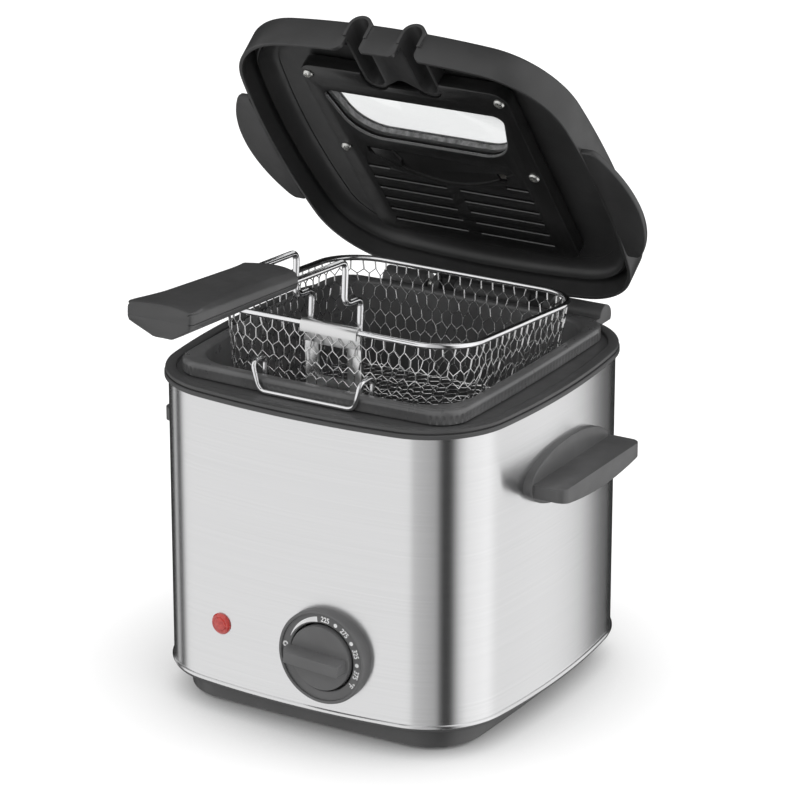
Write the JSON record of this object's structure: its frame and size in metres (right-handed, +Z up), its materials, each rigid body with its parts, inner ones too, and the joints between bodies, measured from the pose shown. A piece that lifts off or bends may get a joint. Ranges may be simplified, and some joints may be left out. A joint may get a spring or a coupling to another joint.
{
  "type": "deep fryer",
  "caption": "Compact electric deep fryer: bowed brushed-steel body, dial and lamp at the front, side handles, hinged windowed lid, lift-out wire basket with a long grip.",
  "frame": {"origin": "on the surface that the feet stand on, under the centre of the steel housing", "axes": "+X to the right along the front panel, +Y to the back, +Z up; the dial and the basket's grip are on the -Y side"},
  "size_m": [0.229, 0.3169, 0.3378],
  "materials": {
    "black_plastic": "fine satin grain, dark grey",
    "lid_plastic": "satin near-black",
    "liner_plastic": "satin near-black",
    "brushed_steel": "brushed along the sides",
    "pot_coating": "non-stick coating, satin",
    "chrome_wire": "bright plated wire",
    "screw_steel": "bright zinc",
    "plain_steel": "plain sheet",
    "aluminised_sheet": "dull",
    "element_sheath": "dull, heat-tinted",
    "inner_plastic": "moulded",
    "copper": "plain",
    "wire_jacket": "silicone",
    "foot_rubber": "matt",
    "gasket_rubber": "matt",
    "filter_felt": "felt",
    "lamp_red": "clear red, faceted",
    "window_glass": "clear pane"
  },
  "bodies": {
    "root": {"base_tray": "black_plastic", "feet": "foot_rubber", "base_screws": "screw_steel", "standoffs": "plain_steel", "shield_screws": "screw_steel", "steel_housing": "brushed_steel", "collar": "black_plastic", "collar_screws": "screw_steel", "oil_pot": "pot_coating", "heating_element": "element_sheath", "element_clamp": "plain_steel", "heat_shield": "aluminised_sheet", "thermostat": "inner_plastic", "sensor_bulb": "copper", "thermal_cutout": "inner_plastic", "terminal_block": "inner_plastic", "wiring": "wire_jacket", "cord_inlet": "lid_plastic", "inlet_pins": "copper", "dial_ring": "black_plastic", "indicator_lens": "lamp_red", "indicator_lamp": "inner_plastic", "left_handle": "black_plastic", "right_handle": "black_plastic", "handle_screws": "screw_steel", "hinge_pin": "screw_steel", "hinge_spring": "plain_steel", "drain_hook": "chrome_wire"},
    "lid": {"lid_shell": "lid_plastic", "lid_liner": "liner_plastic", "lid_window": "window_glass", "window_gasket": "gasket_rubber", "lid_filter": "filter_felt", "lid_screws": "screw_steel"},
    "basket": {"basket_rim": "chrome_wire", "basket_net": "chrome_wire", "bracket_plate": "chrome_wire", "handle_wires": "chrome_wire", "grip_lower": "black_plastic", "grip_upper": "black_plastic", "grip_screws": "screw_steel"},
    "dial_knob": {"knob": "black_plastic", "thermostat_shaft": "plain_steel"}
  },
  "joints": [
    {"name": "lid_hinge", "type": "hinge", "parent": "root", "child": "lid", "pos_m": [0, 0.102, 0.1686], "axis": [1, 0, 0], "range_deg": [0, 52]},
    {"name": "basket_drop", "type": "slide", "parent": "root", "child": "basket", "axis": [0, 0, -1], "range_m": [0, 0.0575]},
    {"name": "knob_turn", "type": "hinge", "parent": "root", "child": "dial_knob", "pos_m": [0.018, -0.1, 0.047], "axis": [0, 1, 0], "range_deg": [0, 195]}
  ],
  "couplings": [
    {"joint": "basket_drop", "follows": "lid_hinge", "m_per_rad": 0.0633}
  ]
}
